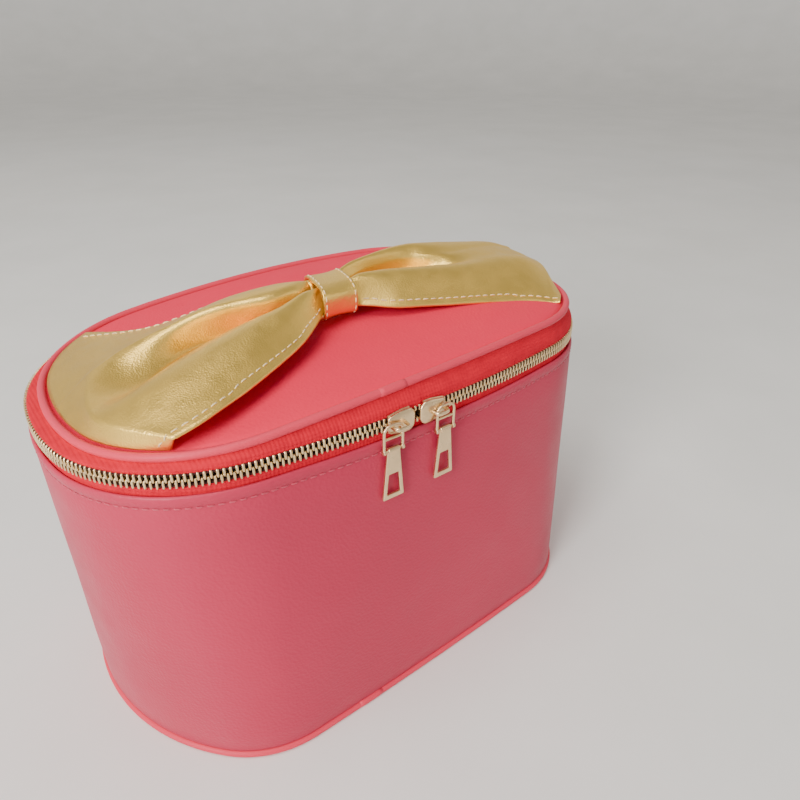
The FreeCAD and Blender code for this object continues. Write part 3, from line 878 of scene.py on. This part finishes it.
# ---- lid ----
def lid_layer(name, node, material, inset, drop, thick):
    """One layer of the lid, a set distance under the top of the leather."""
    oval = grown(LID_OVAL, -inset)

    def top(x, y, share):
        return lid_dome(x, y, share) - drop

    def under(x, y, share):
        return lid_dome(x, y, share) - drop - thick

    obj = solid(name, [disc(oval, top, under, 22, 2.5)], material, "lid", node)
    return obj


def lid_pieces():
    # The lid's leather is the rose with painted light on its upward face.
    panel = lid_layer("lid_leather", "lid_panel", ROSE_LID_PAINTED_LIGHT, 1.5, 0.0, LEATHER)
    drop = LEATHER + LAYER_GAP
    lid_layer("lid_stiffener", "lid_board", BOARD, 2.7, drop, LID_BOARD)
    drop += LID_BOARD + LAYER_GAP
    cloth = lid_layer("lid_cloth", "lid_lining", LINING_CLOTH, 2.7, drop, LINING)
    welt("lid_welt", LID_OVAL, lid_z, "lid", "lid_piping", -18.8)


# ---- bow ----
class Wing:
    """A sheet through guide lines, sewn in beside the piping at its outer end."""

    def __init__(self, guides, shoulder):
        self.body = [guide[:-1] for guide in guides]
        self.shoulder = shoulder
        self.side = 1 if guides[0][-1][0] > 0 else -1
        self.seam = grown(LID_OVAL, -PIPING_R - SEAM_INSET)
        self.angles = [self.seam_angle(Vector(guide[-1])) for guide in guides]
        for i in range(1, len(self.angles)):
            while self.angles[i] - self.angles[i - 1] > math.pi:
                self.angles[i] -= TURN
            while self.angles[i - 1] - self.angles[i] > math.pi:
                self.angles[i] += TURN

    def seam_angle(self, corner):
        """Angle of the lid oval's point nearest to a guide's end."""
        return min(range(720), key=lambda i: self.miss(i, corner)) * TURN / 720

    def miss(self, i, corner):
        x, y = oval_point(self.seam, i * TURN / 720)
        return (x - corner.x) ** 2 + (y - corner.y) ** 2

    def seam_point(self, v):
        angle = spline([(a, 0, 0) for a in self.angles], v).x
        x, y = oval_point(self.seam, angle)
        return Vector((x, y, lid_z(x, y) + SEAM_RISE))

    def plain(self, u, v):
        return spline([spline(guide, u) for guide in self.body], v)

    def at(self, u, v):
        """Point for u from the knot to the seam, v from the front to the back edge."""
        point = self.plain(min(u / RIM, 1.0), v)
        if u > RIM:
            share = (u - RIM) / (1 - RIM)
            fall = self.seam_point(v) - point
            point += Vector((fall.x * share, fall.y * share, fall.z * share ** self.shoulder))
        return point

    def normal(self, u, v):
        step = 0.004
        u0, u1 = max(0.0, u - step), min(1.0, u + step)
        v0, v1 = max(0.0, v - step), min(1.0, v + step)
        along = self.at(u1, v) - self.at(u0, v)
        across = self.at(u, v1) - self.at(u, v0)
        return along.cross(across).normalized() * self.side

    def creased(self, u, v):
        """The sheet with gathers that fade from the knot, small folds and soft dents."""
        point = self.at(u, v)
        held = smooth_step(u / 0.08) * (1 - smooth_step((u - 0.8) / 0.2))
        fan = math.cos(v * 34.0 + 5.0 * noise.noise(point / 30.0)) * math.exp(-u / 0.11)
        crease = math.sin(v * 17.0 + 7.0 * noise.noise(point / 22.0)) * math.exp(-u / 0.35)
        soft = noise.noise(point / 17.0) * 0.3 + noise.noise(point / 5.0) * 0.07
        return point + self.normal(u, v) * (held * (0.4 * fan + 0.15 * crease + soft))


def sheet_sections(surface, normal, rows, columns, thick):
    """Closed sections of a sheet with rounded edges."""
    sections = []
    for i in range(rows + 1):
        u = i / rows
        top = []
        under = []
        for j in range(columns + 1):
            v = j / columns
            point = surface(u, v)
            away = normal(u, v) * (thick / 2)
            top.append(point + away)
            under.append(point - away)
        front = (surface(u, 0.0) - surface(u, 0.01)).normalized() * (thick * 0.35)
        back = (surface(u, 1.0) - surface(u, 0.99)).normalized() * (thick * 0.35)
        middle_front = surface(u, 0.0) + front
        middle_back = surface(u, 1.0) + back
        sections.append(top + [middle_back] + under[::-1] + [middle_front])
    return sections


def edge_share(wing, u, edge, inset):
    """v at a distance in from an edge."""
    step = 0.01
    v = edge
    sign = 1 if edge == 0.0 else -1
    travelled = 0.0
    while travelled < inset:
        travelled += (wing.creased(u, v + sign * step) - wing.creased(u, v)).length
        v += sign * step
    return v


def bow_wing(side, guides, shoulder):
    wing = Wing(guides, shoulder)
    sections = sheet_sections(wing.creased, wing.normal, 108, 110, BOW_THICK)
    parts = [sweep(sections)]
    obj = solid("bow_sheet_" + side, parts, GOLD, "lid", "bow_wing_" + side)
    made = []
    for edge in (0.0, 1.0):
        inset = [edge_share(wing, i / 20, edge, 2.6) for i in range(21)]

        def v_at(u):
            i = min(int(u * 20), 19)
            return inset[i] + (inset[i + 1] - inset[i]) * (u * 20 - i)

        def route(share):
            u = 0.05 + 0.93 * share
            v = v_at(u)
            return wing.creased(u, v) + wing.normal(u, v) * (BOW_THICK / 2)

        def outwards(share):
            u = 0.05 + 0.93 * share
            return wing.normal(u, v_at(u))

        made += stitches(route, outwards, 2.7, 1.1, 0.27)
    sewn = solid("bow_stitches_" + side, made, CREAM_THREAD, "lid")


def bow_middle():
    """The strip's pleated middle, hidden in the knot, joining the two wings."""
    guides = [(left[0], right[0]) for left, right in zip(LEFT_WING, RIGHT_WING)]

    def surface(u, v):
        return spline([spline(guide, u) for guide in guides], v)

    def normal(u, v):
        across = surface(u, min(v + 0.01, 1.0)) - surface(u, max(v - 0.01, 0.0))
        return Vector((1, 0, 0)).cross(across).normalized()

    parts = [sweep(sheet_sections(surface, normal, 8, 48, BOW_THICK))]
    obj = solid("bow_pleats", parts, GOLD, "lid", "bow_gather")


def knot_point(share, x, out):
    """Point round the knot: a soft rounded rectangle, squeezed a little mid-width."""
    angle = TURN * share
    c = math.cos(angle)
    s = math.sin(angle)
    mx, my, mz = KNOT_MIDDLE
    waist = 1.0 - 0.05 * (1 - x * x)
    half_y = (KNOT_HALF_Y + out) * waist
    half_z = (KNOT_HALF_Z + out) * waist
    y = math.copysign(abs(c) ** KNOT_ROUND, c) * half_y
    z = math.copysign(abs(s) ** KNOT_ROUND, s) * half_z
    return Vector((mx + x * KNOT_HALF_X + y * KNOT_SLANT, my + y, mz + z))


def knot():
    sections = []
    count = 96
    profile = [(-1.0, -0.35), (-0.97, 0.1), (-0.88, 0.0), (-0.6, 0.0), (-0.3, 0.0), (0.0, 0.0)]
    profile += [(0.3, 0.0), (0.6, 0.0), (0.88, 0.0), (0.97, 0.1), (1.0, -0.35)]
    inner = [(x, -BOW_THICK) for x in (0.97, 0.5, 0.0, -0.5, -0.97)]
    for i in range(count):
        share = i / count
        section = []
        for x, out in profile + inner:
            point = knot_point(share, x, out)
            soft = wobble(point, 6.0, 0.3) if out > -0.4 and abs(x) < 0.9 else 0.0
            section.append(knot_point(share, x, out + soft))
        sections.append(section)
    obj = solid("bow_knot", [sweep(sections, True)], GOLD, "lid", "bow_knot_band")
    made = []
    for x in (-0.86, 0.86):
        def route(share, x=x):
            return knot_point(share, x, 0.0)

        def outwards(share, x=x):
            return (knot_point(share, x, 1.0) - knot_point(share, x, 0.0)).normalized()

        made += stitches(route, outwards, 2.3, 1.0, 0.25)
    sewn = solid("bow_knot_stitches", made, CREAM_THREAD, "lid")


# ---- sliders and pulls ----
def slider_frame(name):
    """From a slider's own frame, nose along +X and front along -Y, to its place."""
    x = SLIDER_CENTRES[name]
    _, cy, radius, _, _ = oval_arcs(CHAIN_OVAL)[6]
    turn = Matrix.Rotation(math.asin(x / radius), 4, "Z")
    move = Matrix.Translation((x, cy - math.sqrt(radius ** 2 - x ** 2), CHAIN_Z))
    flip = Matrix.Diagonal((-1 if name == "right" else 1, 1, 1, 1))
    return move @ turn @ flip


def placed(parts, matrix):
    points, faces = joined(parts)
    return [([matrix @ Vector(p) for p in points], faces)]


def rounded(corners, radius, steps=5):
    """Polygon with its corners rounded, as (x, z) points."""
    made = []
    count = len(corners)
    for i, corner in enumerate(corners):
        here = Vector(corner)
        before = (Vector(corners[i - 1]) - here).normalized()
        after = (Vector(corners[(i + 1) % count]) - here).normalized()
        for k in range(steps + 1):
            t = k / steps
            a = here + before * radius * (1 - t) ** 2
            made.append(a + after * radius * t ** 2)
    return made


def plate(outline, levels):
    """Flat piece as rings of an outline: levels are (inset share, y)."""
    middle = sum(outline, Vector((0, 0))) / len(outline)
    sections = []
    for inset, y in levels:
        loop = [middle + (p - middle) * (1 - inset) for p in outline]
        sections.append([Vector((p.x, y, p.y)) for p in loop])
    return sweep(sections)


def slider(name):
    """Two shield-shaped plates joined by a post, with side flanges and a crown."""
    half = [(6.0, 2.6), (4.0, 4.8), (0.3, 4.8), (-6.0, 3.4)]
    outline = rounded([(x, -z) for x, z in half[::-1]] + half, 1.3)
    face = PLATE_FACE
    inner = PLATE_FACE - PLATE_THICK
    levels = [(0.03, -inner), (0.0, -inner - 0.25), (0.0, -face + 0.4), (0.05, -face + 0.08)]
    levels += [(0.16, -face - 0.12), (0.45, -face - 0.38), (0.8, -face - 0.5)]
    front = plate(outline, levels)
    levels = [(0.8, face), (0.1, face), (0.03, face - 0.1), (0.0, face - 0.4), (0.0, inner)]
    back = plate(outline, levels)
    post = rounded([(2.6, -1.1), (5.6, -1.1), (5.6, 1.1), (2.6, 1.1)], 0.4)
    post = plate(post, ((0, -inner), (0, inner)))
    flanges = []
    for side in (-1, 1):
        for y in (-1.15, 1.15):
            path = [(-5.6, y, side * 3.32), (0.4, y, side * 4.45), (4.0, y, side * 4.45)]
            flanges.append(tube(path, 0.46, (0, 1, 0), 8))
    foot = -face + 0.3
    neck = -face - 1.6
    far = -face - 3.75
    crown = [(1.0, foot), (1.0, neck), (0.7, far + 0.7), (-0.1, far), (-2.0, far - 0.1)]
    crown += [(-3.9, far), (-4.7, far + 0.7), (-5.0, neck), (-5.0, foot)]
    crown = [(x, y, 0) for x, y in crown]
    lug = tube([spline(crown, i / 40) for i in range(41)], 0.85, (0, 0, 1), 12, False, 0.6)
    parts = placed([front, back, post, lug] + flanges, slider_frame(name))
    obj = solid("zip_slider_" + name, parts, PLATED, "slider_" + name, "slider_" + name)
    sharpen(obj, 50)


def ring(x0, x1, outer, inner, z):
    """Short sleeve along X round the pull's pin."""
    profile = [(x0 + 0.12, outer - 0.12), (x0 + 0.25, outer), (x1 - 0.25, outer)]
    profile += [(x1 - 0.12, outer - 0.12), (x1, inner), (x0, inner)]
    sections = []
    for i in range(20):
        c = math.cos(TURN * i / 20)
        s = math.sin(TURN * i / 20)
        sections.append([Vector((x, -BAIL_PLANE + r * c, z + r * s)) for x, r in profile])
    return sweep(sections, True)


def bail(name):
    """Round-topped wire loop with a crossbar and an eyelet on each leg."""
    low = BAIL_LOW + 0.6
    shoulder = BAIL_TOP - BAIL_CORNER
    legs = (BAIL_MIDDLE - BAIL_HALF, BAIL_MIDDLE + BAIL_HALF)
    path = [(legs[0], low), (legs[0], shoulder)]
    for i in range(1, 18):
        a = math.pi * (1 - i / 18)
        x = BAIL_MIDDLE + math.copysign(abs(math.cos(a)) ** 0.85, math.cos(a)) * BAIL_HALF
        path.append((x, shoulder + BAIL_CORNER * math.sin(a) ** 0.85))
    path += [(legs[1], shoulder), (legs[1], low)]
    bar = [(x, BAIL_BAR) for x in (legs[0], BAIL_MIDDLE, legs[1])]
    parts = []
    for wire, radius, sides in ((path, WIRE_R, 12), (bar, 0.5, 10)):
        parts.append(tube([(x, -BAIL_PLANE, z) for x, z in wire], radius, (0, 1, 0), sides))
    for x in legs:
        parts.append(ring(x - 0.62, x + 0.62, EYELET_R, PIN_R - 0.05, BAIL_LOW))
    parts = placed(parts, slider_frame(name))
    obj = solid("zip_bail_" + name, parts, PLATED, "bail_" + name, "bail_" + name)
    sharpen(obj, 50)


def tab(name):
    """Tapered puller with a window, soft edges and a sleeve round its pin."""
    low = TAB_TOP - TAB_LENGTH
    slope = (TAB_LOW_HALF - TAB_TOP_HALF) / TAB_LENGTH

    def half(z):
        return TAB_TOP_HALF + (TAB_TOP - z) * slope

    def outline(z0, z1, inset, radius):
        top = half(z1) - inset
        foot = half(z0) - inset
        ends = [(-top, z1), (top, z1), (foot, z0), (-foot, z0)]
        return [p + Vector((BAIL_MIDDLE, 0)) for p in rounded(ends, radius, 6)]

    outer = outline(low, TAB_TOP, 0.0, 0.7)
    outer_in = outline(low + 0.22, TAB_TOP - 0.22, 0.22, 0.6)
    window = outline(low + 2.0, low + 11.3, 1.55, 0.45)
    window_in = outline(low + 1.82, low + 11.48, 1.37, 0.5)
    y0 = -BAIL_PLANE - TAB_THICK / 2
    y1 = -BAIL_PLANE + TAB_THICK / 2
    bevel = 0.2
    rings = ((outer_in, y0), (outer, y0 + bevel), (outer, y1 - bevel), (outer_in, y1),
             (window_in, y1), (window, y1 - bevel), (window, y0 + bevel), (window_in, y0))
    sections = []
    for i in range(len(outer)):
        sections.append([Vector((loop[i].x, y, loop[i].y)) for loop, y in rings])
    reach = TAB_TOP_HALF - 0.1
    sleeve = ring(BAIL_MIDDLE - reach, BAIL_MIDDLE + reach, EYELET_R, PIN_R, BAIL_LOW)
    parts = placed([sweep(sections, True), sleeve], slider_frame(name))
    obj = solid("zip_tab_" + name, parts, PLATED, "tab_" + name, "tab_" + name)
    sharpen(obj, 35)


# ---- stage ----
CAMERA_PLACE = (-142.6, -231.67, 262.41)
CAMERA_TURN = -38.48
CAMERA_RISE = 30.1
CAMERA_ROLL = 0.63
CAMERA_LENS = 28.84
WALL_GLOW = 0.26
GLOW_HEIGHT = 0.8          # metres above the floor at which the glow is full


def studio_surface():
    """Pale, faintly cloudy surface that glows a little where it turns up into a wall."""
    made = Nodes("pale_floor", (0.80, 0.79, 0.76), 0.45)
    made.blend(made.noise(6.0, 6.0, 0.6), (0.76, 0.755, 0.73), (0.83, 0.82, 0.80))
    made.bump(made.noise(60.0, 3.0), 0.05, 0.0005)
    height = made.pattern(made.add("SeparateXYZ"), "Z")
    glow = made.mapped(height, 0.0, WALL_GLOW, 0.0, GLOW_HEIGHT)
    made.shader.inputs["Emission Color"].default_value = (1.0, 0.98, 0.95, 1)
    made.link(glow, made.shader.inputs["Emission Strength"])
    return made.material


def stage():
    """Round pale floor that curves up into a plain wall far behind."""
    sections = []
    around = 96
    rings = [(0.05, 0.0), (0.4, 0.0), (1.0, 0.0), (2.2, 0.0)]
    for i in range(9):
        a = math.pi / 2 * i / 8
        rings.append((3.0 + 1.2 * math.sin(a), 1.2 * (1 - math.cos(a))))
    rings.append((4.2, 3.4))
    for radius, height in rings:
        loop = []
        for i in range(around):
            a = TURN * i / around
            loop.append(Vector((radius * math.cos(a), radius * math.sin(a), height)) / MM)
        sections.append(loop)
    points, faces = sweep(sections)
    mesh_object("floor", points, faces[:-1], studio_surface())
    world = bpy.data.worlds.new("soft_room")
    world.use_nodes = True
    background = world.node_tree.nodes["Background"]
    background.inputs["Color"].default_value = (1.0, 0.97, 0.93, 1)
    background.inputs["Strength"].default_value = 0.38
    bpy.context.scene.world = world


def lamp(name, place, aim, size, power, colour):
    data = bpy.data.lights.new(name, "AREA")
    data.shape = "RECTANGLE"
    data.size, data.size_y = size
    data.energy = power
    data.color = colour
    obj = bpy.data.objects.new(name, data)
    obj.location = place
    obj.rotation_euler = (Vector(aim) - Vector(place)).to_track_quat("-Z", "Y").to_euler()
    bpy.context.scene.collection.objects.link(obj)


def lights():
    aim = (0, 0, 0.1)
    lamp("ceiling", (-0.5, -0.1, 1.5), aim, (1.0, 0.8), 14.5, (1.0, 0.97, 0.92))
    lamp("left_window", (-1.3, -0.5, 0.75), aim, (0.5, 0.6), 25.0, (1.0, 0.98, 0.96))
    lamp("right_fill", (1.2, -1.0, 0.8), aim, (0.9, 0.7), 1.6, (1.0, 0.95, 0.9))
    lamp("back_fill", (0.4, 1.4, 0.9), aim, (1.0, 0.6), 1.0, (1.0, 0.96, 0.92))


def camera():
    """View from the front left, above the case."""
    turn = math.radians(CAMERA_TURN)
    rise = math.radians(CAMERA_RISE)
    roll = math.radians(CAMERA_ROLL)
    level = Vector((math.cos(turn), math.sin(turn), 0))
    ahead = Vector((-math.sin(turn), math.cos(turn), 0))
    back = Vector((0, 0, math.sin(rise))) - ahead * math.cos(rise)
    upright = back.cross(level)
    right = level * math.cos(roll) + upright * math.sin(roll)
    up = upright * math.cos(roll) - level * math.sin(roll)
    data = bpy.data.cameras.new("view")
    data.lens = CAMERA_LENS
    data.sensor_width = 36.0
    obj = bpy.data.objects.new("view", data)
    axes = Matrix((right, up, back)).transposed().to_4x4()
    obj.matrix_world = Matrix.Translation(Vector(CAMERA_PLACE) * MM) @ axes
    bpy.context.scene.collection.objects.link(obj)
    bpy.context.scene.camera = obj


# ---- CAD pieces that stay ----
def dress(node, material):
    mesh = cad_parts[node].data
    if not mesh.materials:
        mesh.materials.append(material)
    for i in range(len(mesh.materials)):
        mesh.materials[i] = material


def everything():
    body_wall()
    lining_tube()
    base_pieces()
    welt("base_welt", BASE_OVAL, lambda x, y: BASE_PIPING_Z, "case", "base_piping", -38.8)
    lower_tape()
    upper_tape()
    zip_rows()
    hinge()
    lid_pieces()
    bow_wing("left", LEFT_WING, LEFT_SHOULDER)
    bow_wing("right", RIGHT_WING, RIGHT_SHOULDER)
    bow_middle()
    knot()
    for name in SLIDER_CENTRES:
        slider(name)
        bail(name)
        tab(name)
        dress("pull_pin_" + name, PLATED)
    dress("zip_end_stops", BRASS)
    dress("base_board", BOARD)
    dress("wall_stiffener", BOARD)
    stage()
    lights()
    camera()


everything()
